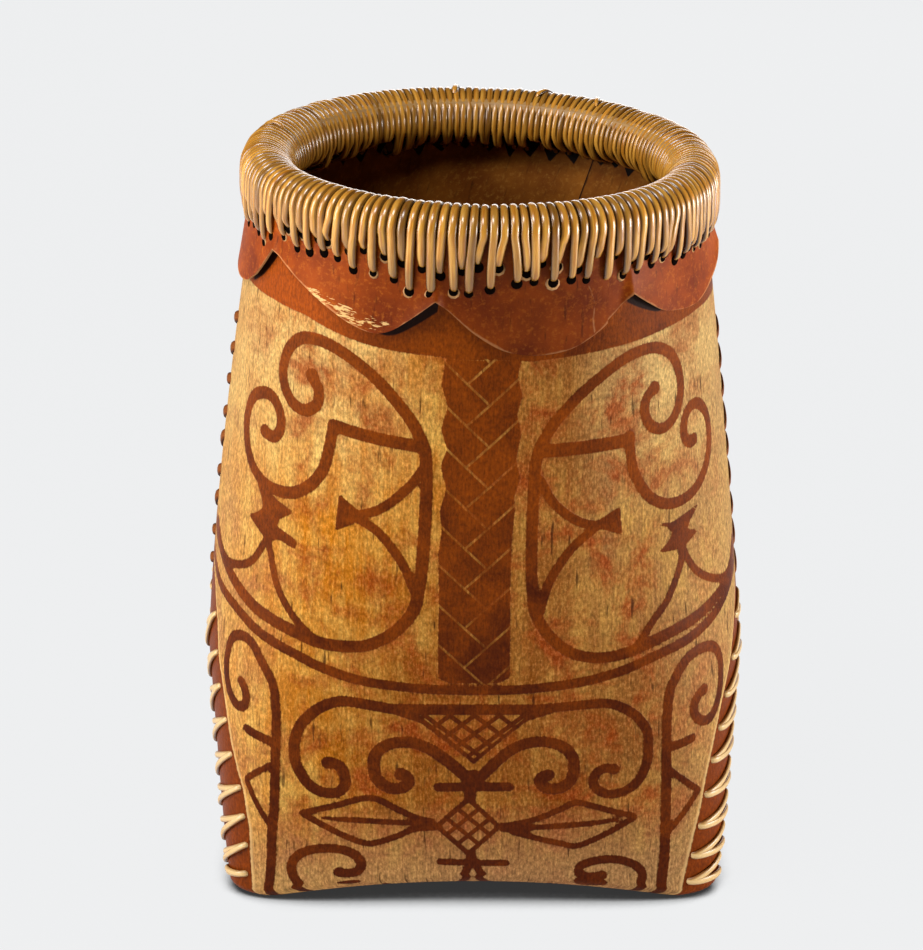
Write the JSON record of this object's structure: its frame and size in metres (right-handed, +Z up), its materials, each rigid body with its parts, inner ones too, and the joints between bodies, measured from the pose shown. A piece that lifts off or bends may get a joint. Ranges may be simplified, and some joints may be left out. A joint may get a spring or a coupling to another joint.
{
  "type": "birch bark basket",
  "caption": "Tall birch bark basket: oblong foot, round mouth, scraped ornament, scalloped collar, sewn side gussets and a hooped rim laced with split root.",
  "frame": {"origin": "middle of the base, on the surface that the basket stands on", "axes": "+X to the right across the front, the decorated front faces -Y, +Z up to the mouth"},
  "size_m": [0.2097, 0.1804, 0.2907],
  "materials": {
    "birch_bark_light": "scraped satin",
    "birch_bark_red": "satin",
    "hoop_wood": "matte",
    "split_root_light": "satin",
    "split_root_dark": "satin"
  },
  "bodies": {
    "root": {"body_sheet": "birch_bark_light", "left_gusset": "birch_bark_red", "right_gusset": "birch_bark_red", "lining": "birch_bark_red", "scalloped_collar": "birch_bark_red", "inner_hoop": "hoop_wood", "rim_lacing_1": "split_root_light", "rim_lacing_2": "split_root_light", "rim_lacing_3": "split_root_light", "rim_lacing_4": "split_root_light", "rim_lacing_5": "split_root_light", "rim_lacing_6": "split_root_light", "left_front_stitches": "split_root_light", "left_back_stitches": "split_root_light", "right_front_stitches": "split_root_light", "right_back_stitches": "split_root_light", "left_upper_stitches": "split_root_dark", "right_upper_stitches": "split_root_dark"}
  },
  "joints": []
}
